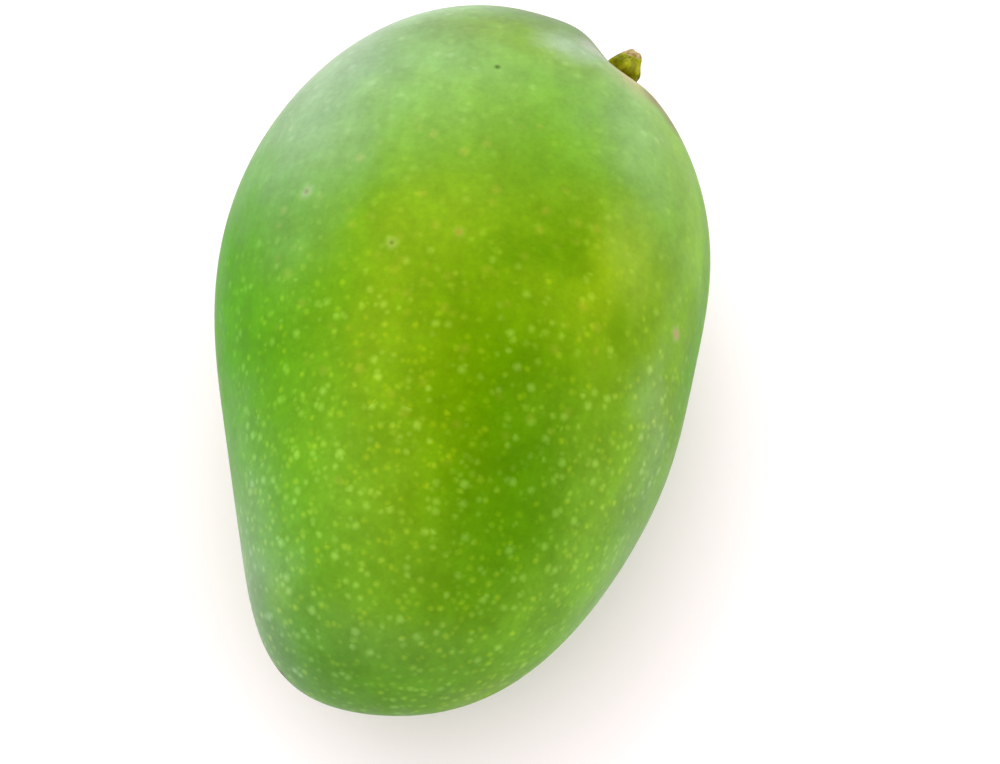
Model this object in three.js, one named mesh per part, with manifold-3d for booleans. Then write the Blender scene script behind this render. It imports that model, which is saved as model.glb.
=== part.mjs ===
// A whole green mango with a stub of its stalk, lying on one cheek.
//
// Units are millimetres and +Z is up. The fruit's long axis lies along Y, with the stalk end at +Y and
// the tip at -Y, and its two flattened cheeks face up and down. The origin is under the middle of the
// fruit, on the small flat spot that it lies on.
//
// Directions seen from above are compass bearings in degrees: 0 is +Y and 90 is +X. The skin is given
// by one distance for each direction from the middle of the fruit.

import * as THREE from "three";
import { mergeVertices } from "three/addons/utils/BufferGeometryUtils.js";
import Module from "manifold-3d";

const wasm = await Module();
wasm.setup();

// ---- Driving dimensions ----

const MEAN_RADIUS = 47.4; // of the outline seen from above
const HALF_THICKNESS = 33.5; // from the middle of the fruit to the crown of a cheek

// How the outline differs from a circle: the number of waves round it, their height, and the bearing of
// one crest.
const OUTLINE_WAVES = [
  { count: 1, height: 0.4, crest: -5 }, // more of the fruit at the stalk end
  { count: 2, height: 9.75, crest: -1 }, // longer than it is wide
  { count: 3, height: 1.95, crest: 57 }, // two shoulders and a tapering tip
  { count: 4, height: 1.6, crest: 3 }, // flatter flanks
  { count: 5, height: 0.6, crest: 43 }, // a straighter left flank
  { count: 6, height: 0.3, crest: 1 }, // a blunter tip
];

// From its rim to the crowns of its cheeks the fruit is a superellipse. A power of 2 is an ellipse, and
// more is fuller: the power rises by the swing towards the stalk end and falls by it towards the tip.
const FULLNESS = { power: 2.25, swing: 0.2 };

// Soft bumps and hollows of the skin: the bearing, the elevation, the height, and the spread in degrees.
const BEAK = { bearing: 197, elevation: 0, height: 4, spread: 13 };
const STALK_BASIN = { bearing: 19.5, elevation: 0, height: -3.2, spread: 12 };
const BASIN_DIP = { bearing: 22, elevation: 17, height: -1.6, spread: 5.4 }; // where the basin runs out
const BASIN_SHOULDER = { bearing: 14, elevation: 16, height: 0.6, spread: 5.8 }; // beside the dip
const SWELLS = [BEAK, STALK_BASIN, BASIN_DIP, BASIN_SHOULDER];

// The skin is faintly uneven: each ripple has a height, its waves along X, Y and Z, and a phase.
const RIPPLES = [
  { height: 0.14, waves: [4.1, 1.7, 2.3], phase: 0.6 },
  { height: 0.12, waves: [-2.6, 3.9, 3.1], phase: 2.1 },
  { height: 0.1, waves: [5.3, -3.2, -4.4], phase: 4.0 },
];

const REST_SPOT_DEPTH = 0.5; // how much is pressed flat at the crown of the lower cheek

const STALK = {
  rootDepth: 2.6, // sunk into the fruit, below the floor of the basin
  height: 9.2, // above the floor of the basin
  rootRadius: 2.2,
  neckRadius: 2.1, // inside the collar
  knobRadius: 2.65,
  tipRadius: 1.5, // where it snapped off
  bend: 14, // how far it leans over towards the fruit's long axis, in degrees
  rise: 8, // how far it leans up, in degrees
};
const SOCKET_GAP = 0.3; // between the stalk's root and the fruit

const COLLAR = {
  innerRadius: 2.75,
  outerRadius: 4.1,
  height: 2.2,
  scales: 5,
  seat: 0.45, // above the floor of the basin
};

const FRUIT_MESH = { rings: 50, segments: 92 };
const STALK_MESH = { rings: 20, segments: 20 };
const COLLAR_MESH = { segments: 40 };

const COLOURS = {
  skin: { color: 0x6fa51f, roughness: 0.38, metalness: 0 },
  stalk: { color: 0x8b8a24, roughness: 0.7, metalness: 0 },
  cork: { color: 0x5a3018, roughness: 0.9, metalness: 0 },
};

// ---- Helpers ----

const UP = new THREE.Vector3(0, 0, 1);
const { degToRad: radians, radToDeg: degrees, lerp, smoothstep: ease } = THREE.MathUtils;

/** The unit vector on a compass bearing, level or at an elevation in degrees. */
function towards(bearing, elevation = 0) {
  const level = Math.cos(radians(elevation));
  const x = level * Math.sin(radians(bearing));
  const y = level * Math.cos(radians(bearing));
  return new THREE.Vector3(x, y, Math.sin(radians(elevation)));
}

/** A closed surface: a pole, rings of points anticlockwise round it seen from outside, and a last pole. */
function closedSurface(rings, segments, pointAt) {
  const points = [pointAt(0, 0)];
  for (let ring = 1; ring < rings; ring++) {
    for (let s = 0; s < segments; s++) {
      points.push(pointAt(ring / rings, (2 * Math.PI * s) / segments));
    }
  }
  points.push(pointAt(1, 0));

  const at = (ring, s) => 1 + (ring - 1) * segments + (s % segments);
  const last = points.length - 1;
  const triangles = [];
  for (let s = 0; s < segments; s++) {
    triangles.push(0, at(1, s), at(1, s + 1));
    for (let ring = 1; ring < rings - 1; ring++) {
      triangles.push(at(ring, s), at(ring + 1, s), at(ring + 1, s + 1));
      triangles.push(at(ring, s), at(ring + 1, s + 1), at(ring, s + 1));
    }
    triangles.push(last, at(rings - 1, s + 1), at(rings - 1, s));
  }
  return new THREE.BufferGeometry().setFromPoints(points).setIndex(triangles);
}

/** A closed geometry as a manifold-3d solid. */
function solidOf(geometry) {
  const bare = geometry.clone();
  bare.deleteAttribute("normal");
  bare.deleteAttribute("uv");
  const merged = mergeVertices(bare, 1e-4);
  const vertProperties = new Float32Array(merged.attributes.position.array);
  const triVerts = new Uint32Array(merged.index.array);
  return new wasm.Manifold(new wasm.Mesh({ numProp: 3, vertProperties, triVerts }));
}

/** A manifold-3d solid as a geometry with flat faces. */
function geometryOf(solid) {
  const mesh = solid.getMesh();
  const geometry = new THREE.BufferGeometry();
  geometry.setAttribute("position", new THREE.BufferAttribute(mesh.vertProperties, 3));
  geometry.setIndex(new THREE.BufferAttribute(mesh.triVerts, 1));
  return geometry;
}

function namedMesh(name, geometry, look) {
  const flat = geometry.index ? geometry.toNonIndexed() : geometry;
  flat.computeVertexNormals();
  const mesh = new THREE.Mesh(flat, new THREE.MeshStandardMaterial(look));
  mesh.name = name;
  return mesh;
}

// ---- The fruit ----

/** The distance from the middle of the fruit to its rim on a bearing. */
function outlineRadius(bearing) {
  let radius = MEAN_RADIUS;
  for (const { count, height, crest } of OUTLINE_WAVES) {
    radius += height * Math.cos(radians(count * (bearing - crest)));
  }
  return radius;
}

/** What the bumps and hollows add in a direction: for each, a bell curve of the angle between them. */
function swelling(direction) {
  let sum = 0;
  for (const { bearing, elevation, height, spread } of SWELLS) {
    const away = direction.angleTo(towards(bearing, elevation)) / radians(spread);
    sum += height * Math.exp(-away * away);
  }
  return sum;
}

/** What the ripples add in a direction. */
function unevenness(direction) {
  let sum = 0;
  for (const { height, waves, phase } of RIPPLES) {
    sum += height * Math.sin(direction.dot(new THREE.Vector3(...waves)) + phase);
  }
  return sum;
}

/** The distance from the middle of the fruit to its skin in a direction. */
function skinRadius(direction) {
  const bearing = degrees(Math.atan2(direction.x, direction.y));
  const level = Math.hypot(direction.x, direction.y) / outlineRadius(bearing);
  const upright = Math.abs(direction.z) / HALF_THICKNESS;
  const power = FULLNESS.power + FULLNESS.swing * Math.cos(radians(bearing));
  const body = (level ** power + upright ** power) ** (-1 / power);
  return body + swelling(direction) + unevenness(direction);
}

/** The point of the rim on a bearing. */
function rimPoint(bearing) {
  const direction = towards(bearing);
  return direction.multiplyScalar(skinRadius(direction));
}

/** The fruit's skin as a closed surface. Its rings circle the stalk, and crowd together near it. */
function skinGeometry() {
  const pole = towards(STALK_BASIN.bearing);
  const across = new THREE.Vector3().crossVectors(UP, pole);
  const crowding = 0.3;
  return closedSurface(FRUIT_MESH.rings, FRUIT_MESH.segments, (t, turn) => {
    const tilt = Math.PI * t - crowding * Math.sin(2 * Math.PI * t);
    const direction = new THREE.Vector3()
      .addScaledVector(pole, Math.cos(tilt))
      .addScaledVector(across, Math.sin(tilt) * Math.cos(turn))
      .addScaledVector(UP, Math.sin(tilt) * Math.sin(turn));
    return direction.multiplyScalar(skinRadius(direction));
  });
}

/** The stalk's own frame: its Z leaves the fruit at the middle of the basin, and its X lies level. */
function stalkFrame() {
  const { bearing } = STALK_BASIN;
  const side = rimPoint(bearing + 4).sub(rimPoint(bearing - 4)).normalize();
  const outward = new THREE.Vector3().crossVectors(UP, side);
  return new THREE.Matrix4()
    .makeBasis(side, UP.clone().negate(), outward)
    .setPosition(rimPoint(bearing));
}

/** The whole fruit, pressed flat where it lies, with a round socket for the root of the stalk. */
function fruitGeometry() {
  const slabDepth = 20;
  const slab = new THREE.BoxGeometry(100, 100, slabDepth);
  slab.translate(0, 0, REST_SPOT_DEPTH - HALF_THICKNESS - slabDepth / 2);

  const socketRadius = STALK.rootRadius + SOCKET_GAP;
  const socketDepth = STALK.rootDepth + SOCKET_GAP;
  const socket = new THREE.CylinderGeometry(socketRadius, socketRadius, 2 * socketDepth, 32);
  socket.rotateX(Math.PI / 2);
  socket.applyMatrix4(stalkFrame());

  return geometryOf(solidOf(skinGeometry()).subtract(solidOf(slab)).subtract(solidOf(socket)));
}

// ---- The stalk and its collar, drawn in the stalk's frame ----

/** The stalk's radius at a share of its length: a straight root, a neck, a knob and the snapped tip. */
function stalkRadius(t) {
  const neck = lerp(STALK.rootRadius, STALK.neckRadius, ease(t, 0.2, 0.42));
  const knob = lerp(neck, STALK.knobRadius, ease(t, 0.42, 0.64));
  return lerp(knob, STALK.tipRadius, ease(t, 0.7, 1));
}

/** The stalk: rings of three and five soft lobes along a bent spine, closed by a rounded end at each pole. */
function stalkGeometry() {
  const lean = new THREE.Euler(radians(STALK.rise), -radians(STALK.bend), 0);
  const elbow = new THREE.Vector3(0, 0, STALK.height * 0.35);
  const tip = new THREE.Vector3(0, 0, STALK.height * 0.65).applyEuler(lean).add(elbow);
  const root = new THREE.Vector3(0, 0, -STALK.rootDepth);
  const spine = new THREE.QuadraticBezierCurve3(root, elbow, tip);
  const sideways = new THREE.Vector3(1, 0, 0);
  return closedSurface(STALK_MESH.rings, STALK_MESH.segments, (t, turn) => {
    const share = (1 + Math.cos(Math.PI * t)) / 2;
    const along = spine.getTangent(share);
    const over = new THREE.Vector3().crossVectors(along, sideways).normalize();
    const right = new THREE.Vector3().crossVectors(over, along);
    const lobes = 0.07 * Math.cos(3 * turn + 1) + 0.05 * Math.cos(5 * turn);
    const rounding = Math.sqrt(Math.min(1, 1.8 * Math.sin(Math.PI * t)));
    const radius = stalkRadius(share) * rounding * (1 + lobes * ease(share, 0.4, 0.6));
    return spine
      .getPoint(share)
      .addScaledVector(right, radius * Math.cos(turn))
      .addScaledVector(over, radius * Math.sin(turn));
  });
}

/** A low ring of dried scales round the stalk: a turned ring, wider and taller at each scale. */
function collarGeometry() {
  const { innerRadius, outerRadius, height, scales } = COLLAR;
  const section = [
    [innerRadius, 0],
    [outerRadius - 0.4, 0.4],
    [outerRadius, 0.8],
    [outerRadius - 0.15, height - 0.6],
    [outerRadius - 0.6, height],
    [innerRadius + 0.25, height - 0.15],
    [innerRadius, height - 0.7],
    [innerRadius, 0],
  ].map(([radius, z]) => new THREE.Vector2(radius, z));
  const ring = new THREE.LatheGeometry(section, COLLAR_MESH.segments);
  ring.rotateX(Math.PI / 2);

  const points = ring.attributes.position;
  for (let i = 0; i < points.count; i++) {
    const point = new THREE.Vector3().fromBufferAttribute(points, i);
    const crest = 0.5 + 0.5 * Math.cos(scales * Math.atan2(point.y, point.x));
    const wider = 1 + 0.1 * crest * ease(Math.hypot(point.x, point.y), innerRadius, outerRadius);
    const taller = 0.7 + 0.3 * crest;
    points.setXYZ(i, point.x * wider, point.y * wider, point.z * taller);
  }
  return ring;
}

// ---- The part ----

const fruit = namedMesh("fruit", fruitGeometry(), COLOURS.skin);

const stalk = namedMesh("stalk_stub", stalkGeometry(), COLOURS.stalk);
stalk.applyMatrix4(stalkFrame());

const collar = namedMesh("stalk_collar", collarGeometry(), COLOURS.cork);
collar.position.z = COLLAR.seat;
collar.updateMatrix();
collar.applyMatrix4(stalkFrame());

const mango = new THREE.Group();
mango.add(fruit, stalk, collar);
mango.position.z = HALF_THICKNESS - REST_SPOT_DEPTH;

export default mango;
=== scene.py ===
"""A whole green mango lying on one cheek, with a stub of its stalk in a corky collar, on a pale floor.

Shapes are worked out in millimetres and put into the meshes in metres. +Z is up, the stalk end is at +Y and
the origin is on the flat spot that the fruit lies on. Directions seen from above are compass bearings in
degrees: 0 is +Y and 90 is +X.
"""

import math

import bpy
import numpy as np
from mathutils import Matrix, Vector


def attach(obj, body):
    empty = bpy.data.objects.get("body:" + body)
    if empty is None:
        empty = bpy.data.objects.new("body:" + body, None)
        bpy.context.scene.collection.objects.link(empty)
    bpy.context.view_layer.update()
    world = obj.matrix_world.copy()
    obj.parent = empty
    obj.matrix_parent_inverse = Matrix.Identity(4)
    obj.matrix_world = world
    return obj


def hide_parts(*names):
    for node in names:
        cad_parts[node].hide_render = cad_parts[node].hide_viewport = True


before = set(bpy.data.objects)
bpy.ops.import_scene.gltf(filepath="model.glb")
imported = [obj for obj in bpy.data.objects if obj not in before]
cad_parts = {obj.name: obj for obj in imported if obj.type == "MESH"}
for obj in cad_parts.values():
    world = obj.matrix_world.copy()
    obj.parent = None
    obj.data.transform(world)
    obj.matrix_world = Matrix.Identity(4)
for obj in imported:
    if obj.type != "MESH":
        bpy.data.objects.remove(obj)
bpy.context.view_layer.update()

MM = 0.001

# ---------------------------------------------------------------- dimensions, in millimetres and degrees

MEAN_RADIUS = 47.4  # of the outline seen from above
HALF_THICKNESS = 33.5  # from the middle of the fruit to the crown of a cheek
REST_SPOT_DEPTH = 0.5  # how much is pressed flat at the crown of the lower cheek
MIDDLE = np.array([0.0, 0.0, HALF_THICKNESS - REST_SPOT_DEPTH])

# how the outline differs from a circle: the number of waves round it, their height, and a crest's bearing
OUTLINE_WAVES = [
    (1, 0.4, -5),  # more of the fruit at the stalk end
    (2, 9.75, -1),  # longer than it is wide
    (3, 1.95, 57),  # two shoulders and a tapering tip
    (4, 1.6, 3),  # flatter flanks
    (5, 0.6, 43),  # a straighter left flank
    (6, 0.3, 1),  # a blunter tip
]

# the power of the superellipse from the rim to the cheeks: 2 is an ellipse, and more is fuller. It rises
# by the swing towards the stalk end and falls by it towards the tip.
FULLNESS = 2.25
FULLNESS_SWING = 0.2

# soft bumps and hollows of the skin: bearing, elevation, height and spread
BEAK = (197, 0, 4.0, 13)
STALK_BASIN = (19.5, 0, -3.2, 12)
BASIN_DIP = (22, 17, -1.6, 5.4)  # where the basin runs out
BASIN_SHOULDER = (14, 16, 0.6, 5.8)  # beside the dip
SWELLS = [BEAK, STALK_BASIN, BASIN_DIP, BASIN_SHOULDER]

# the skin is faintly uneven: each ripple has a height, its waves along X, Y and Z, and a phase
RIPPLES = [
    (0.14, (4.1, 1.7, 2.3), 0.6),
    (0.12, (-2.6, 3.9, 3.1), 2.1),
    (0.10, (5.3, -3.2, -4.4), 4.0),
]

STALK_ROOT_DEPTH = 2.6  # sunk into the fruit, below the floor of the basin
STALK_HEIGHT = 9.2  # above the floor of the basin
STALK_ELBOW = 0.35  # the share of its height at which it leans over
STALK_BEND = 12  # how far it leans over towards the fruit's long axis
STALK_RISE = 8  # how far it leans up
STALK_ROOT_RADIUS = 2.2
STALK_NECK_RADIUS = 2.1  # inside the collar
STALK_KNOB_RADIUS = 2.75
STALK_TIP_RADIUS = 1.3  # where it snapped off

# where the radius steps to the neck's, the knob's and the tip's, as shares of the way from root to tip
NECK_STEP = (0.2, 0.42)
KNOB_STEP = (0.42, 0.64)
TIP_STEP = (0.7, 1.0)

# waves round the stalk: height, how many, and phase. A lobe's height is a share of the radius.
STALK_LOBES = [(0.09, 3, 1.0), (0.05, 5, 0.0)]
TORN_EDGE = [(0.12, 3, 0.4), (0.1, 7, 2.0), (0.06, 11, 0.0)]
TORN_FIBRES = 0.35  # how far they stand out of the tip

SOCKET_GAP = 0.3  # between the stalk's root and the fruit
SOCKET_ROUNDING = 0.25  # half the width of the step down into the socket

COLLAR_INNER = 2.75
COLLAR_OUTER = 4.1
COLLAR_HEIGHT = 2.2
COLLAR_SEAT = 0.45  # above the floor of the basin
COLLAR_SQUARENESS = 3  # the power of the superellipse that is its section
COLLAR_UNDERCUT = 0.4  # how much higher its underside is at the outer edge than at the inner one
COLLAR_FALL = 0.35  # how much lower its top is there
COLLAR_SCALES = 5
SCALE_FLARE = 0.1  # the share of the radius by which a scale stands out
SCALE_NOTCH = 0.3  # the share of the height that is missing between two scales
CRUMPLE_OUT = 0.12
CRUMPLE_UP = 0.1

# ---------------------------------------------------------------- how finely the surfaces are divided

FRUIT_GRID = (240, 360)  # rings from pole to pole, and points round each
STALK_GRID = (96, 120)
COLLAR_GRID = (180, 40)  # sections round the stalk, and points round each
RING_CROWDING = 0.3  # how strongly the fruit's rings crowd together at the poles


# ---------------------------------------------------------------- shapes

def towards(bearing, elevation=0.0):
    """The unit vector on a bearing, with its sine along X and its cosine along Y, raised by an elevation."""
    b, e = math.radians(bearing), math.radians(elevation)
    return np.array([math.cos(e) * math.sin(b), math.cos(e) * math.cos(b), math.sin(e)])


def ease(x, low, high):
    """A smooth step from 0 at low to 1 at high: 3u^2 - 2u^3 of the share u of the way between them."""
    u = np.clip((x - low) / (high - low), 0.0, 1.0)
    return u * u * (3.0 - 2.0 * u)


def skin_radius(direction):
    """How far the skin is from the middle of the fruit in each direction, an (..., 3) array of unit vectors.

    The rim's radius is a mean plus cosine waves of the bearing. From rim to cheek the radius is a
    superellipse of the rim's radius and the half thickness, whose power swings with the bearing. Each swell
    adds a bell curve of the angle to its middle, and each ripple adds a sine of the direction's product with
    its waves.
    """
    bearing = np.arctan2(direction[..., 0], direction[..., 1])
    rim = MEAN_RADIUS + sum(
        height * np.cos(count * (bearing - math.radians(crest))) for count, height, crest in OUTLINE_WAVES
    )
    power = FULLNESS + FULLNESS_SWING * np.cos(bearing)
    level = np.hypot(direction[..., 0], direction[..., 1]) / rim
    upright = np.abs(direction[..., 2]) / HALF_THICKNESS
    radius = (level**power + upright**power) ** (-1.0 / power)
    for bearing_at, elevation, height, spread in SWELLS:
        away = np.degrees(np.arccos(np.clip(direction @ towards(bearing_at, elevation), -1.0, 1.0))) / spread
        radius = radius + height * np.exp(-away * away)
    for height, waves, phase in RIPPLES:
        radius = radius + height * np.sin(direction @ np.array(waves) + phase)
    return radius


def rim_point(bearing):
    """The skin's point on the rim at a bearing."""
    direction = towards(bearing)
    return MIDDLE + direction * skin_radius(direction)


def stalk_axes():
    """Where the stalk leaves the skin, and its own axes as rows: level along the rim, down, and outward."""
    bearing = STALK_BASIN[0]
    side = rim_point(bearing + 4) - rim_point(bearing - 4)
    side /= np.linalg.norm(side)
    return rim_point(bearing), np.stack([side, [0.0, 0.0, -1.0], np.cross([0.0, 0.0, 1.0], side)])


STALK_FOOT, STALK_AXES = stalk_axes()


def from_stalk(points):
    """Points given in the stalk's own axes, in the frame of the part."""
    return STALK_FOOT + points @ STALK_AXES


def closed_grid(rings, segments, point_at):
    """A closed surface from point_at(t, turn): t runs 0 to 1 between two poles, and turn once round.

    Both are given as a grid, (rings + 1) by segments. The first and last rows become one vertex each, with
    a fan of triangles, and quads join the rows between. Turns run anticlockwise seen from outside the
    first pole.
    """
    t, turn = np.meshgrid(
        np.linspace(0.0, 1.0, rings + 1), np.arange(segments) * 2.0 * np.pi / segments, indexing="ij"
    )
    grid = point_at(t, turn)
    points = np.concatenate([grid[0, :1], grid[1:-1].reshape(-1, 3), grid[-1, :1]])
    index = 1 + np.arange((rings - 1) * segments).reshape(rings - 1, segments)
    beside = np.roll(index, -1, axis=1)
    quads = np.stack([index[:-1], index[1:], beside[1:], beside[:-1]], axis=-1).reshape(-1, 4)
    first = np.stack([np.zeros(segments, int), index[0], beside[0]], axis=-1)
    last = np.stack([np.full(segments, len(points) - 1), beside[-1], index[-1]], axis=-1)
    return points, quads, np.concatenate([first, last])


def fruit_directions(t, turn):
    """Unit vectors whose rings circle the stalk. Their angle from it is pi times t, less the crowding times
    the sine of twice that, which puts the rings closer together at both poles."""
    pole = towards(STALK_BASIN[0])
    across = np.cross([0.0, 0.0, 1.0], pole)
    tilt = np.pi * t - RING_CROWDING * np.sin(2.0 * np.pi * t)
    return (
        np.cos(tilt)[..., None] * pole
        + (np.sin(tilt) * np.cos(turn))[..., None] * across
        + (np.sin(tilt) * np.sin(turn))[..., None] * np.array([0.0, 0.0, 1.0])
    )


def fruit_points(t, turn):
    """The skin: each direction times its radius, sunk in a round socket under the stalk, and pressed flat
    where it lies by holding its height at the floor or above."""
    direction = fruit_directions(t, turn)
    points = direction * skin_radius(direction)[..., None]
    from_axis = np.linalg.norm(np.cross(points + MIDDLE - STALK_FOOT, STALK_AXES[2]), axis=-1)
    outside = points @ STALK_AXES[2] > 0
    wall = STALK_ROOT_RADIUS + SOCKET_GAP
    within = 1.0 - ease(from_axis, wall - SOCKET_ROUNDING, wall + SOCKET_ROUNDING)
    sunk = (STALK_ROOT_DEPTH + SOCKET_GAP) * within * outside
    points = points + MIDDLE - sunk[..., None] * STALK_AXES[2]
    points[..., 2] = np.maximum(points[..., 2], 0.0)
    return points


def stalk_spine(share):
    """The stalk's spine, a quadratic curve from the root by an elbow to the tip.

    Gives its point at each share of the way, and unit vectors along it, to the right of it and over it.
    """
    rise, bend = math.radians(STALK_RISE), math.radians(-STALK_BEND)
    lean = np.array(Matrix.Rotation(rise, 3, "X") @ Matrix.Rotation(bend, 3, "Y") @ Vector((0, 0, 1)))
    root = np.array([0.0, 0.0, -STALK_ROOT_DEPTH])
    elbow = np.array([0.0, 0.0, STALK_HEIGHT * STALK_ELBOW])
    tip = elbow + lean * STALK_HEIGHT * (1.0 - STALK_ELBOW)
    s = share[..., None]
    centre = (1 - s) ** 2 * root + 2 * s * (1 - s) * elbow + s**2 * tip
    along = 2 * (1 - s) * (elbow - root) + 2 * s * (tip - elbow)
    along /= np.linalg.norm(along, axis=-1, keepdims=True)
    over = np.cross(along, [1.0, 0.0, 0.0])
    over /= np.linalg.norm(over, axis=-1, keepdims=True)
    return centre, along, np.cross(over, along), over


def stalk_radius(share):
    """The stalk's radius at a share of its length, by smooth steps from root to neck, knob and tip."""
    radius = STALK_ROOT_RADIUS + (STALK_NECK_RADIUS - STALK_ROOT_RADIUS) * ease(share, *NECK_STEP)
    radius = radius + (STALK_KNOB_RADIUS - radius) * ease(share, *KNOB_STEP)
    return radius + (STALK_TIP_RADIUS - radius) * ease(share, *TIP_STEP)


def waves_round(turn, waves):
    """The sum of cosine waves round a ring, each given as its height, how many there are, and its phase."""
    return sum(height * np.cos(count * turn + phase) for height, count, phase in waves)


def stalk_relief(share, turn):
    """How much fuller than its radius the stalk is, as a share of it.

    Round each ring it has soft lobes, 13 and 23 fine ribs that wind along it, and knuckles that come and go
    along the knob. The root is plain.
    """
    ribs = 0.025 * np.cos(13 * turn + 3 * np.sin(5 * share)) + 0.02 * np.cos(23 * turn - 9 * share)
    knuckles = 0.05 * np.sin(19 * share + 2 * np.cos(2 * turn + 0.7)) * np.cos(turn * 2 - 6 * share)
    return ease(share, 0.4, 0.6) * (waves_round(turn, STALK_LOBES) + ribs + knuckles)


def stalk_points(t, turn):
    """The stalk: rings along its spine, from the tip to the root.

    Each ring has the stalk's radius and relief, and the first and last ones are rounded off by the root of a
    sine. Near the tip, waves round the ring raise and lower it into a torn end.
    """
    share = (1.0 + np.cos(np.pi * t)) / 2.0
    centre, along, right, over = stalk_spine(share)
    radius = stalk_radius(share) * np.sqrt(np.minimum(1.0, 1.8 * np.sin(np.pi * t)))
    radius = radius * (1.0 + stalk_relief(share, turn))
    torn = waves_round(turn, TORN_EDGE) * np.minimum(1.0, radius / STALK_TIP_RADIUS)
    lift = torn * ease(share, 0.86, 0.97) + TORN_FIBRES * ease(share, 0.8, 1.0)
    ring = np.cos(turn)[..., None] * right + np.sin(turn)[..., None] * over
    return from_stalk(centre + radius[..., None] * ring + lift[..., None] * along)


STALK_TIP = stalk_points(np.array([[0.0]]), np.array([[0.0]]))[0, 0]


def collar_surface(segments, around):
    """The collar: a rounded section turned round the stalk, closed on itself both ways.

    The section is a superellipse between the inner and the outer radius. Dried scales swell it outward and
    upward by a cosine round the stalk, and finer waves crumple their edges.
    """
    turn, way = np.meshgrid(
        np.arange(segments) * 2.0 * np.pi / segments, np.arange(around) * 2.0 * np.pi / around, indexing="ij"
    )
    out = np.sign(np.cos(way)) * np.abs(np.cos(way)) ** (2 / COLLAR_SQUARENESS)
    up = np.sign(np.sin(way)) * np.abs(np.sin(way)) ** (2 / COLLAR_SQUARENESS)
    share_out = (1.0 + out) / 2.0
    share_up = (1.0 + up) / 2.0
    crest = 0.5 + 0.5 * np.cos(COLLAR_SCALES * turn)
    crumple = 0.5 * np.sin(11 * turn + 1) + 0.3 * np.sin(17 * turn + 4 * up)
    crumple = crumple + 0.2 * np.sin(29 * turn + 2 * out)

    radius = COLLAR_INNER + (COLLAR_OUTER - COLLAR_INNER) * share_out
    radius = radius * (1.0 + SCALE_FLARE * crest * share_out) + CRUMPLE_OUT * crumple * share_out
    low = COLLAR_UNDERCUT * share_out
    high = COLLAR_HEIGHT - COLLAR_FALL * share_out
    height = (low + (high - low) * share_up) * (1.0 - SCALE_NOTCH + SCALE_NOTCH * crest)
    height = height + CRUMPLE_UP * crumple * share_up + COLLAR_SEAT

    rings = np.stack([radius * np.cos(turn), radius * np.sin(turn), height], axis=-1)
    index = np.arange(segments * around).reshape(segments, around)
    ahead, beside = np.roll(index, -1, axis=0), np.roll(index, -1, axis=1)
    quads = np.stack([index, ahead, np.roll(ahead, -1, axis=1), beside], axis=-1).reshape(-1, 4)
    return from_stalk(rings).reshape(-1, 3), quads, np.zeros((0, 3), int)


def piece(name, surface, material, replaced):
    """A smooth mesh object of a closed surface, given in millimetres, that rides on the root body."""
    points, quads, triangles = surface
    corners = np.concatenate([quads.ravel(), triangles.ravel()])
    starts = np.concatenate([np.arange(len(quads)) * 4, quads.size + np.arange(len(triangles)) * 3])
    mesh = bpy.data.meshes.new(name)
    mesh.vertices.add(len(points))
    mesh.vertices.foreach_set("co", (points * MM).astype(np.float32).ravel())
    mesh.loops.add(len(corners))
    mesh.loops.foreach_set("vertex_index", corners.astype(np.int32))
    mesh.polygons.add(len(starts))
    mesh.polygons.foreach_set("loop_start", starts.astype(np.int32))
    mesh.polygons.foreach_set("use_smooth", np.ones(len(starts), bool))
    mesh.update()
    mesh.validate()
    mesh.materials.append(material)
    made = bpy.data.objects.new(name, mesh)
    bpy.context.scene.collection.objects.link(made)
    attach(made, "root")
    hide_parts(replaced)


# ---------------------------------------------------------------- mixing a finish

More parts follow.
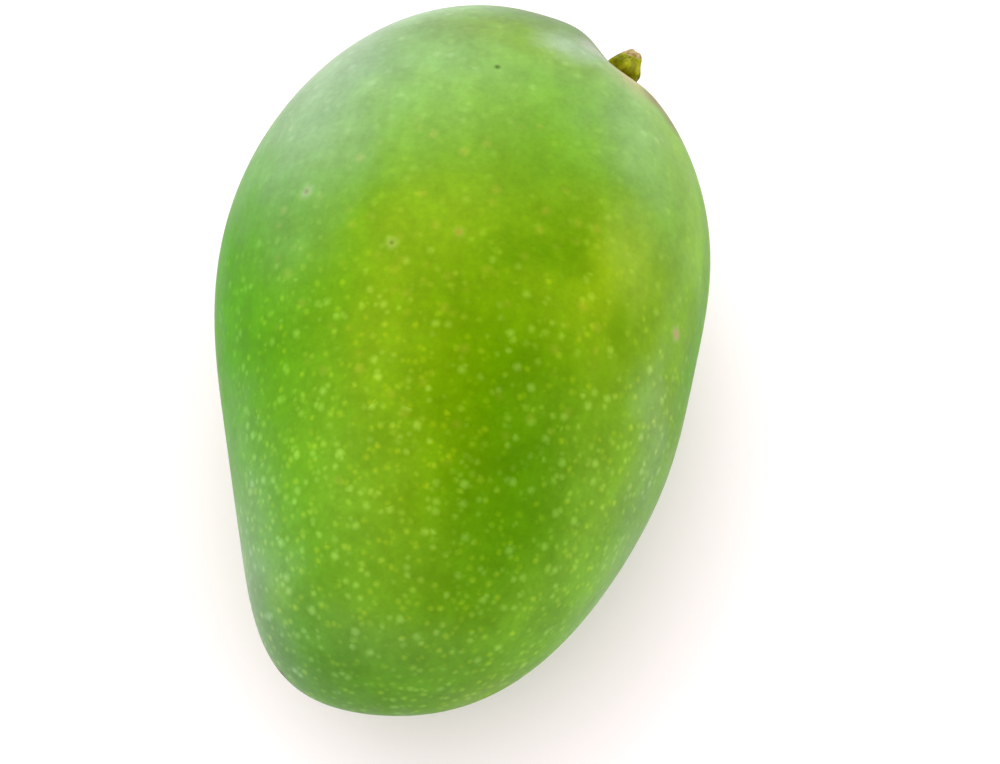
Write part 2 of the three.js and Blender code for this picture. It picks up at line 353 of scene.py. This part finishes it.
class Finish:
    """A material being mixed, with lengths in millimetres. The methods from add to dots give the output of
    the node that they add, or of the last of them."""

    def __init__(self, name):
        self.material = bpy.data.materials.new(name)
        self.material.use_nodes = True
        self.nodes = self.material.node_tree.nodes
        self.links = self.material.node_tree.links
        self.shader = self.nodes["Principled BSDF"]

    def put(self, socket, value):
        """Links an output to a socket, or sets the socket itself to a plain number, vector or colour."""
        if isinstance(value, bpy.types.NodeSocket):
            self.links.new(value, socket)
        else:
            socket.default_value = (*value, 1.0) if socket.type == "RGBA" and len(value) == 3 else value

    def relief(self, height, strength, depth):
        """Lets light fall as if a height from 0 to 1 raised the surface by up to the depth."""
        bumps = {"Height": height, "Strength": strength, "Distance": depth * MM}
        self.put(self.shader.inputs["Normal"], self.add("Bump", bumps, output="Normal"))

    def add(self, kind, inputs=(), output=0, **settings):
        node = self.nodes.new("ShaderNode" + kind)
        for key, value in settings.items():
            setattr(node, key, value)
        for key, value in dict(inputs).items():
            self.put(node.inputs[key], value)
        return node.outputs[output]

    def position(self):
        """Object coordinates in millimetres."""
        return self.scaled(self.add("TexCoord", output="Object"), 1.0 / MM)

    def scaled(self, vector, factor):
        """A vector times a number, or a colour made lighter or darker by it."""
        return self.add("VectorMath", {0: vector, "Scale": factor}, operation="SCALE")

    def moved(self, vector, by):
        return self.add("VectorMath", {0: vector, 1: by}, operation="ADD")

    def stretched(self, vector, scale, offset=(0, 0, 0)):
        return self.add("Mapping", {"Vector": vector, "Scale": scale, "Location": offset})

    def tinted(self, colour, factor, lift):
        """The colour times a factor and plus a lift, each given for red, green and blue."""
        return self.add("VectorMath", {0: colour, 1: factor, 2: lift}, operation="MULTIPLY_ADD")

    def noise(self, vector, size, detail=3.0, roughness=0.5, distortion=0.0, output="Fac"):
        """Soft noise from about 0 to 1, whose blotches are about size across."""
        inputs = {"Vector": vector, "Scale": 1.0 / size, "Detail": detail, "Roughness": roughness}
        return self.add("TexNoise", {**inputs, "Distortion": distortion}, output=output)

    def span(self, value, low, high, to_low=0.0, to_high=1.0):
        """A smooth step from to_low where value is low to to_high where it is high."""
        return self.add(
            "MapRange",
            {"Value": value, "From Min": low, "From Max": high, "To Min": to_low, "To Max": to_high},
            interpolation_type="SMOOTHSTEP",
        )

    def math(self, operation, a, b=0.0):
        return self.add("Math", {0: a, 1: b}, operation=operation)

    def product(self, *values):
        total = values[0]
        for value in values[1:]:
            total = self.math("MULTIPLY", total, value)
        return total

    def patch(self, vector, middle, reach):
        """A soft patch, 1 at its middle and 0 at its reach: the three half widths of an ellipsoid."""
        inward = tuple(1.0 / r for r in reach)
        from_middle = self.stretched(vector, inward, tuple(-m * i for m, i in zip(middle, inward)))
        away = self.add("VectorMath", {0: from_middle}, output="Value", operation="LENGTH")
        return self.span(away, 1.0, 0.0)

    def ball(self, vector, middle, reach):
        """A soft round patch, 1 at its middle and 0 at its reach."""
        return self.patch(vector, middle, (reach, reach, reach))

    def blend(self, amount, under, over):
        """The under colour, with the over colour laid on it by an amount from 0 to 1."""
        node = self.nodes.new("ShaderNodeMix")
        node.data_type = "RGBA"
        self.put(node.inputs["Factor"], amount)
        self.put(node.inputs[6], under)
        self.put(node.inputs[7], over)
        return node.outputs[2]

    def dots(self, vector, spacing, radius, share):
        """Soft round dots where the skin passes close to points scattered through space, one to a cell of a
        grid. A share of the points has one.

        Gives how strongly each place is covered, and a value from 0 to 1 that differs from dot to dot.
        """
        cell = self.nodes.new("ShaderNodeTexVoronoi")
        self.put(cell.inputs["Vector"], vector)
        cell.inputs["Scale"].default_value = 1.0 / spacing
        own = self.add("SeparateColor", {"Color": cell.outputs["Color"]}, output="Red")
        other = self.add("SeparateColor", {"Color": cell.outputs["Color"]}, output="Green")
        away = self.math("MULTIPLY", cell.outputs["Distance"], spacing)
        size = self.span(other, 0.0, 1.0, radius * 0.85, radius * 1.15)
        cover = self.span(self.math("DIVIDE", away, size), 1.0, 0.05)
        return self.product(cover, self.math("LESS_THAN", own, share)), other


# ---------------------------------------------------------------- the skin's colours and marks

# colours are linear red, green and blue
GROUND = (0.161, 0.371, 0.034)
# some tones stand in for light: the pale bloom tone is waxy bloom and painted sheen, the lime tone is a
# painted rim highlight, the grey tone is painted shade, and the vivid tone is a fresher green that is partly
# painted shade
TONES = {
    "cheek": (0.137, 0.274, 0.001),
    "yellow": (0.253, 0.406, 0.008),
    "deep": (0.048, 0.181, 0.001),
    "vivid_and_shade": (0.066, 0.286, 0.001),
    "lime_sheen": (0.250, 0.500, 0.060),
    "bloom_and_sheen": (0.321, 0.448, 0.316),
    "shade_grey": (0.104, 0.155, 0.087),
    "corky": (0.390, 0.354, 0.195),
}
# a deeper green laid towards the bottom of the fruit: painted shade, and the underside's own deeper green
UNDERSIDE_AND_SHADE = (0.044, 0.227, 0.001)
BASIN_EDGE = (0.360, 0.300, 0.180)
TIP_SCAR = (0.060, 0.045, 0.015)
GLOSS_TINT = (1.0, 1.0, 0.55, 1.0)

# soft-edged areas of the skin, in the order they are laid: tone, middle, reach and amount
AREAS = [
    # the warm green of the upper cheek, flushed yellow on both sides of a deeper middle
    ("cheek", (3, -8, 62), (78, 44, 144), 0.85),
    ("cheek", (4, -24, 60), (26, 65, 356), 0.8),
    ("yellow", (2, 6, 56), (22, 14, 21), 0.6),
    ("yellow", (20, 0, 63), (20, 20, 19), 1.0),
    ("yellow", (-10, -6, 59), (8, 28, 32), 0.35),
    ("deep", (12, -22, 57), (17, 81, 20), 0.75),
    ("deep", (12, 4, 64), (24, 12, 4), 0.6),
    ("deep", (25, -5, 58), (25, 10, 5), 0.35),
    ("deep", (-9, 43, 58), (43, 53, 5), 1.0),
    # a fresher, deeper green down the left flank, partly painted shade
    ("vivid_and_shade", (-36, -2, 45), (37, 204, 46), 1.0),
    # pale bloom on the shoulders, the flanks and near the tip, partly painted sheen along the rims
    ("bloom_and_sheen", (-24, 26, 52), (16, 43, 27), 0.5),
    ("bloom_and_sheen", (-23, 40, 46), (52, 42, 37), 0.65),
    ("bloom_and_sheen", (17, 38, 54), (17, 41, 13), 0.3),
    ("bloom_and_sheen", (25, 27, 51), (11, 40, 17), 0.3),
    ("bloom_and_sheen", (-24, -52, 37), (16, 72, 22), 0.5),
    ("bloom_and_sheen", (31, -20, 31), (7, 28, 25), 0.4),
    ("bloom_and_sheen", (-40, -8, 31), (8, 50, 11), 0.35),
    ("bloom_and_sheen", (-21, -53, 35), (21, 27, 12), 0.9),
    ("bloom_and_sheen", (26, -35, 31), (10, 21, 14), 0.25),
    ("bloom_and_sheen", (-8, -55, 44), (28, 16, 11), 0.15),
    # a yellower stalk end and a deeper green tip
    ("yellow", (4, 42, 58), (29, 17, 6), 0.4),
    ("deep", (-11, -60, 30), (47, 26, 61), 0.6),
    ("deep", (16, -32, 51), (12, 17, 11), 0.4),
    # beside the stalk: greyish-green painted shade on the far shoulder, pale bloom with painted sheen on the
    # near shoulders, and cork
    ("shade_grey", (9, 48, 50), (21, 10, 11), 0.85),
    ("bloom_and_sheen", (12, 43, 56), (10, 6, 9), 0.7),
    ("corky", (22, 40, 52), (8, 6, 6), 0.75),
    ("corky", (22, 46, 40), (10, 8, 9), 0.7),
    ("bloom_and_sheen", (-16, 48, 50), (21, 35, 8), 0.7),
    # painted light along the rims: the paler, yellower and yellowish-green stretches are painted sheen and
    # highlights, and the two deeper green ones are painted shade
    ("yellow", (26, 26, 50), (18, 45, 8), 0.25),
    ("bloom_and_sheen", (32, 8, 45), (4, 34, 13), 0.15),
    ("lime_sheen", (36, 16, 48), (6, 12, 6), 0.6),
    ("lime_sheen", (28, -38, 40), (8, 12, 9), 0.4),
    ("yellow", (12, -57, 34), (14, 8, 9), 0.25),
    # painted shade on the right and the left rim
    ("vivid_and_shade", (38, 0, 41), (6, 20, 6), 0.6),
    ("vivid_and_shade", (-36, 2, 49), (5, 9, 6), 0.65),
    # more painted sheen along the rims
    ("bloom_and_sheen", (34, -18, 44), (5, 11, 6), 0.2),
    ("lime_sheen", (-18, -50, 45), (6, 6, 6), 0.3),
    ("bloom_and_sheen", (31, -14, 50), (6, 12, 9), 0.15),
]

# marks that lie over the dots, in the order they are laid: middle, reach, colour and amount
BLEMISHES = [
    # round the edge of the stalk basin: a dull pale mark that is a painted reflection, two dark brown marks
    # along its right edge that are painted shade, a beige corky mark on the lip and a dark brown spot
    # painted reflection: a dull pale mark left of the stalk
    ((15.3, 45.2, 52.2), (5.0, 4.5, 5.5), (0.440, 0.440, 0.420), 0.55),
    # painted shade: dark brown along the basin's right edge
    ((25.8, 39.2, 49.4), (5.4, 4.2, 5.0), (0.170, 0.115, 0.050), 0.85),
    ((29.3, 36.6, 47.6), (5.4, 4.2, 5.0), (0.160, 0.130, 0.050), 0.8),
    ((21.4, 41.2, 52.2), (4.4, 2.2, 2.8), (0.480, 0.400, 0.230), 0.6),
    ((23.0, 42.2, 48.9), (1.7, 1.9, 1.9), (0.130, 0.080, 0.030), 0.95),
    # a dark speck
    ((1.2, 33.9, 62.2), (0.8, 0.8, 0.8), (0.030, 0.080, 0.010), 0.95),
    # scabs, each a pale ring round a darker or pinkish middle
    ((-24.1, 8.5, 61.6), (1.9, 1.9, 1.9), (0.360, 0.500, 0.270), 0.6),
    ((-24.1, 8.5, 61.6), (0.8, 0.8, 0.8), (0.200, 0.220, 0.110), 0.85),
    ((0.2, 2.9, 66.4), (1.7, 1.7, 1.7), (0.300, 0.420, 0.040), 0.5),
    ((0.2, 2.9, 66.4), (0.9, 0.9, 0.9), (0.300, 0.260, 0.030), 0.8),
    ((-9.4, -0.1, 65.9), (1.6, 1.6, 1.6), (0.300, 0.440, 0.070), 0.7),
    ((-9.4, -0.1, 65.9), (0.6, 0.6, 0.6), (0.130, 0.170, 0.020), 0.9),
    ((34.1, -1.3, 50.2), (2.0, 2.0, 2.0), (0.370, 0.420, 0.200), 0.6),
    ((34.1, -1.3, 50.2), (1.2, 1.2, 1.2), (0.420, 0.250, 0.130), 0.85),
    # a faint dark streak down the right of the cheek
    ((25.6, -5.5, 59.2), (2.2, 8.0, 3.0), (0.110, 0.260, 0.001), 0.45),
    ((24.4, -14.0, 58.2), (2.0, 5.0, 3.0), (0.110, 0.260, 0.001), 0.35),
]


def skin_pigment(f, at, mottle, speckle):
    """The skin's colour under its dots: the ground tone with its areas, some of which are painted sheen and
    shade, and a duller green towards the bottom that is painted shade and the underside's own deeper green,
    streaked, mottled and speckled by a few percent. A slow noise shifts the areas, so that their edges
    wander."""
    wander = f.noise(at, 13.0, detail=4, roughness=0.6, output="Color")
    wander = f.add("VectorMath", {0: wander, 1: (0.5, 0.5, 0.5)}, operation="SUBTRACT")
    ragged = f.moved(at, f.scaled(wander, 10.0))
    colour = GROUND
    for tone, middle, reach, amount in AREAS:
        colour = f.blend(f.product(f.patch(ragged, middle, reach), amount), colour, TONES[tone])
    z = f.add("SeparateXYZ", {"Vector": at}, output="Z")
    # painted shade: the skin turns duller and deeper green towards the bottom
    colour = f.blend(f.span(z, 49.7, 41.4, 0.0, 0.22), colour, UNDERSIDE_AND_SHADE)
    streaks = f.noise(f.stretched(at, (1.0, 0.55, 1.0)), 6.0, detail=4, roughness=0.6)
    colour = f.scaled(colour, f.span(streaks, 0.3, 0.7, 0.92, 1.08))
    colour = f.scaled(colour, f.span(mottle, 0.3, 0.7, 0.94, 1.06))
    return f.scaled(colour, f.span(speckle, 0.3, 0.7, 0.95, 1.05))


def skin_dots(f, at, colour):
    """The colour with breathing dots on it, and how far they stand out.

    Most dots are a paler or a yellower shade of the skin under them. They are few and faint near the stalk
    and many towards the tip, where small ones outnumber the large. They fade on the lower half of the fruit,
    but not at the tip, and in a bare stretch of the left flank. The upper cheek also has tan ones.
    """
    y, z = (f.add("SeparateXYZ", {"Vector": at}, output=axis) for axis in "YZ")
    crinkle = f.noise(at, 0.9, detail=2, output="Color")
    crinkled = f.moved(at, f.scaled(crinkle, 0.45))

    belt = f.math("MAXIMUM", f.span(z, 34.0, 47.0, 0.3, 1.0), f.span(y, -36.0, -50.0))
    bare = f.patch(at, (-33, -25, 44), (10, 45, 9))
    strength = f.product(f.span(y, 14.0, -18.0, 0.33, 1.05), belt, f.span(bare, 0.0, 1.0, 1.0, 0.15))

    to_tip = f.span(y, 38.0, -20.0)
    crowd = f.product(f.span(to_tip, 0.0, 1.0, 0.5, 1.0), f.span(y, -30.0, -50.0, 1.0, 0.5))
    large, large_own = f.dots(crinkled, 2.25, 0.92, crowd)
    large = f.product(large, f.span(large_own, 0.0, 1.0, 0.45, 1.05), strength)

    crowd = f.span(y, 10.0, -45.0, 0.05, 1.0)
    small, small_own = f.dots(f.stretched(crinkled, (1, 1, 1), (0.7, 0.3, 0.5)), 1.5, 0.7, crowd)
    small = f.product(small, f.span(small_own, 0.0, 1.0, 0.35, 0.9), strength)

    crowd = f.product(f.patch(at, (0, -4, 66), (40, 42, 26)), 0.7)
    tan, tan_own = f.dots(f.stretched(crinkled, (1, 1, 1), (1.1, 1.3, 0.9)), 2.6, 1.15, crowd)
    tan = f.product(tan, f.span(tan_own, 0.0, 1.0, 0.2, 0.75))

    paler = f.tinted(colour, (1.55, 1.4, 1.8), (0.024, 0.022, 0.018))
    yellower = f.tinted(colour, (1.7, 1.38, 1.2), (0.024, 0.018, 0.002))
    lighter = f.blend(f.span(large_own, 0.2, 0.8), yellower, paler)
    warmer = f.tinted(colour, (1.4, 1.08, 1.3), (0.030, 0.012, 0.008))
    colour = f.blend(f.math("MAXIMUM", large, small), colour, lighter)
    return f.blend(tan, colour, warmer), f.math("ADD", large, small)


def skin_marks(f, at, colour, mottle, speckle):
    """The colour with a corky edge round the stalk basin, a small scar at the tip, and the blemishes, broken
    up by the speckle."""
    basin = f.ball(at, STALK_FOOT + 0.5 * STALK_AXES[2], 6.5)
    colour = f.blend(f.product(basin, f.span(mottle, 0.3, 0.65, 0.25, 0.9)), colour, BASIN_EDGE)
    scar = f.ball(at, rim_point(BEAK[0]), 1.6)
    colour = f.blend(f.product(scar, 0.9), colour, TIP_SCAR)
    for middle, reach, tint, amount in BLEMISHES:
        mark = f.product(f.patch(at, middle, reach), amount, f.span(speckle, 0.3, 0.55, 0.6, 1.0))
        colour = f.blend(mark, colour, tint)
    return colour


# ---------------------------------------------------------------- finishes

def mango_skin():
    """Waxy green skin with soft areas of pigment, bloom, painted sheen and painted shade, breathing dots and
    a few marks.
    Its gloss varies a little, and its grain and dots stand out faintly."""
    f = Finish("mango_skin")
    at = f.position()
    mottle = f.noise(at, 4.0, detail=4, roughness=0.6)
    speckle = f.noise(at, 1.1, detail=3, roughness=0.7)
    grain = f.noise(at, 0.7, detail=3, roughness=0.6)
    colour, dots = skin_dots(f, at, skin_pigment(f, at, mottle, speckle))
    f.put(f.shader.inputs["Base Color"], skin_marks(f, at, colour, mottle, speckle))
    f.put(f.shader.inputs["Roughness"], f.span(mottle, 0.3, 0.7, 0.42, 0.54))
    f.shader.inputs["Specular IOR Level"].default_value = 0.12
    f.shader.inputs["Specular Tint"].default_value = GLOSS_TINT
    f.relief(f.math("ADD", f.product(grain, 0.25), f.product(dots, 0.5)), strength=0.16, depth=0.2)
    return f.material


def stalk_flesh():
    """Olive-green stalk blotched yellow and pitted brown, with a painted yellow highlight on its knob,
    painted brown shade on its left side and round its foot, and a dry brown torn tip.
    """
    dark_olive, yellow_olive = (0.105, 0.130, 0.001), (0.300, 0.330, 0.004)
    pit_brown, shade_brown = (0.090, 0.075, 0.001), (0.090, 0.066, 0.001)
    pale_fibre, crest_highlight = (0.420, 0.400, 0.060), (0.420, 0.420, 0.040)
    dry_brown, dry_straw = (0.210, 0.140, 0.030), (0.400, 0.330, 0.160)

    f = Finish("stalk_flesh")
    at = f.position()
    blotch = f.noise(at, 2.0, detail=3, roughness=0.55)
    mottle = f.noise(at, 0.9, detail=4, roughness=0.6)
    fibre = f.noise(f.stretched(at, (1.0, 0.35, 1.0)), 0.35, detail=3)
    colour = f.blend(f.span(blotch, 0.4, 0.6), dark_olive, yellow_olive)
    colour = f.blend(f.span(mottle, 0.5, 0.68, 0.0, 0.7), colour, pit_brown)
    colour = f.blend(f.span(fibre, 0.55, 0.75, 0.0, 0.4), colour, pale_fibre)

    # painted highlight: a yellow patch on top of the knob
    crest = f.patch(at, from_stalk((0.2, -1.8, 5.6)), (1.9, 2.4, 1.9))
    colour = f.blend(f.product(crest, 0.75), colour, crest_highlight)
    tip = f.ball(at, STALK_TIP + (-0.5, -0.5, 0.2) @ STALK_AXES, 5.0)
    dry = f.blend(f.span(mottle, 0.35, 0.6), dry_brown, dry_straw)
    colour = f.blend(f.span(tip, 0.45, 0.62), colour, dry)
    # painted shade: brown on the stalk's left side and round its foot
    side_shade = f.ball(at, from_stalk((-2.2, -1.2, 4.2)), 2.6)
    colour = f.blend(f.product(side_shade, 0.85), colour, shade_brown)
    foot_shade = f.ball(at, STALK_FOOT + 3.5 * STALK_AXES[2], 5.0)
    colour = f.blend(f.span(foot_shade, 0.1, 0.5, 0.0, 0.9), colour, shade_brown)

    f.put(f.shader.inputs["Base Color"], colour)
    f.shader.inputs["Roughness"].default_value = 0.62
    f.shader.inputs["Specular IOR Level"].default_value = 0.2
    f.shader.inputs["Specular Tint"].default_value = GLOSS_TINT
    f.relief(f.math("ADD", fibre, mottle), strength=0.5, depth=0.2)
    return f.material


def dry_cork():
    """Dark brown cork, rusty on its raised edges, with fine cracks."""
    dark_cork, rusty_cork, worn_edge = (0.035, 0.014, 0.006), (0.160, 0.060, 0.018), (0.360, 0.180, 0.070)

    f = Finish("dry_cork")
    at = f.position()
    mottle = f.noise(at, 1.1, detail=5, roughness=0.65)
    cracks = f.noise(at, 0.35, detail=4, roughness=0.7, distortion=0.6)
    colour = f.blend(f.span(mottle, 0.35, 0.65), dark_cork, rusty_cork)
    colour = f.blend(f.span(cracks, 0.52, 0.72, 0.0, 0.8), colour, worn_edge)
    f.put(f.shader.inputs["Base Color"], colour)
    f.shader.inputs["Roughness"].default_value = 0.85
    f.relief(f.math("ADD", cracks, mottle), strength=0.7, depth=0.3)
    return f.material


def studio_white():
    """A matt pale floor."""
    f = Finish("studio_white")
    f.shader.inputs["Base Color"].default_value = (0.965, 0.925, 0.965, 1.0)
    f.shader.inputs["Roughness"].default_value = 0.9
    f.shader.inputs["Specular IOR Level"].default_value = 0.1
    return f.material


# ---------------------------------------------------------------- camera, floor and light

CAMERA_AZIMUTH = 8.67
CAMERA_ELEVATION = 67.0
CAMERA_DISTANCE = 378.4
CAMERA_ACROSS = 6.69  # how far it is moved to its right and down, so that the fruit is left of the middle
CAMERA_DOWN = 6.53
LENS = 85.0
FILM_WIDTH = 36.0

# from here on, lengths are in metres
CLOSEST_SEEN = 0.01
FARTHEST_SEEN = 20.0
FLOOR_HALF_WIDTH = 14.0

# the dome of light is brightest towards its middle, behind and above the fruit
DOME_MIDDLE = (-0.25, 0.45, 0.86)
DOME_STRENGTH = (0.70, 1.55)
DOME_COLOUR = (1.0, 0.925, 0.925, 1.0)

# each softbox: name, bearing, elevation, distance, size, power and colour
SOFTBOXES = [
    ("key", -38, 50, 1.6, 1.5, 6.0, (0.93, 0.98, 1.0)),
    ("side", 95, 40, 1.6, 1.3, 3.0, (0.95, 0.98, 1.0)),
]

BLACK_LEVEL = 0.01


def add_camera():
    """The camera looks along one line past the fruit, moved across and down from its middle."""
    a, e = math.radians(CAMERA_AZIMUTH), math.radians(CAMERA_ELEVATION)
    back = Vector((math.sin(a) * math.cos(e), -math.cos(a) * math.cos(e), math.sin(e)))
    right = Vector((math.cos(a), math.sin(a), 0.0))
    up = back.cross(right)
    data = bpy.data.cameras.new("camera")
    data.lens = LENS
    data.sensor_width = FILM_WIDTH
    data.clip_start = CLOSEST_SEEN
    data.clip_end = FARTHEST_SEEN
    camera = bpy.data.objects.new("camera", data)
    place = Vector(MIDDLE) + back * CAMERA_DISTANCE + right * CAMERA_ACROSS - up * CAMERA_DOWN
    camera.matrix_world = Matrix((right, up, back)).transposed().to_4x4()
    camera.location = place * MM
    bpy.context.scene.collection.objects.link(camera)
    bpy.context.scene.camera = camera


def raise_black_point():
    """Shows colours as they are, with black raised a little."""
    view = bpy.context.scene.view_settings
    view.view_transform = "Standard"
    view.use_curve_mapping = True
    view.curve_mapping.black_level = (BLACK_LEVEL, BLACK_LEVEL, BLACK_LEVEL)
    view.curve_mapping.update()


def add_dome():
    """A dome of soft light, whose strength is a smooth step of the cosine of the angle to its middle."""
    world = bpy.data.worlds.new("studio")
    world.use_nodes = True
    nodes, links = world.node_tree.nodes, world.node_tree.links
    looking = nodes.new("ShaderNodeTexCoord")
    along = nodes.new("ShaderNodeVectorMath")
    along.operation = "DOT_PRODUCT"
    along.inputs[1].default_value = DOME_MIDDLE
    links.new(looking.outputs["Generated"], along.inputs[0])
    glow = nodes.new("ShaderNodeMapRange")
    glow.interpolation_type = "SMOOTHSTEP"
    for label, value in zip(("From Min", "From Max", "To Min", "To Max"), (-0.4, 1.0, *DOME_STRENGTH)):
        glow.inputs[label].default_value = value
    links.new(along.outputs["Value"], glow.inputs["Value"])
    sky = nodes["Background"]
    sky.inputs["Color"].default_value = DOME_COLOUR
    links.new(glow.outputs["Result"], sky.inputs["Strength"])
    bpy.context.scene.world = world


def add_floor():
    """A square floor, level with the flat spot that the fruit lies on."""
    half = FLOOR_HALF_WIDTH
    corners = [(-half, -half, 0), (half, -half, 0), (half, half, 0), (-half, half, 0)]
    mesh = bpy.data.meshes.new("floor")
    mesh.from_pydata(corners, [], [(0, 1, 2, 3)])
    mesh.materials.append(studio_white())
    floor = bpy.data.objects.new("floor", mesh)
    bpy.context.scene.collection.objects.link(floor)


def add_softbox(name, bearing, elevation, distance, size, power, colour):
    """A square softbox that faces the fruit."""
    data = bpy.data.lights.new(name, "AREA")
    data.shape = "SQUARE"
    data.size = size
    data.energy = power
    data.color = colour
    light = bpy.data.objects.new(name, data)
    away = Vector(towards(bearing, elevation))
    light.location = away * distance + Vector(MIDDLE) * MM
    light.rotation_euler = away.to_track_quat("Z", "Y").to_euler()
    bpy.context.scene.collection.objects.link(light)


# ---------------------------------------------------------------- the scene

add_camera()

piece("skin", closed_grid(*FRUIT_GRID, fruit_points), mango_skin(), "fruit")
piece("stub", closed_grid(*STALK_GRID, stalk_points), stalk_flesh(), "stalk_stub")
piece("collar", collar_surface(*COLLAR_GRID), dry_cork(), "stalk_collar")

raise_black_point()
add_dome()
add_floor()
for softbox in SOFTBOXES:
    add_softbox(*softbox)
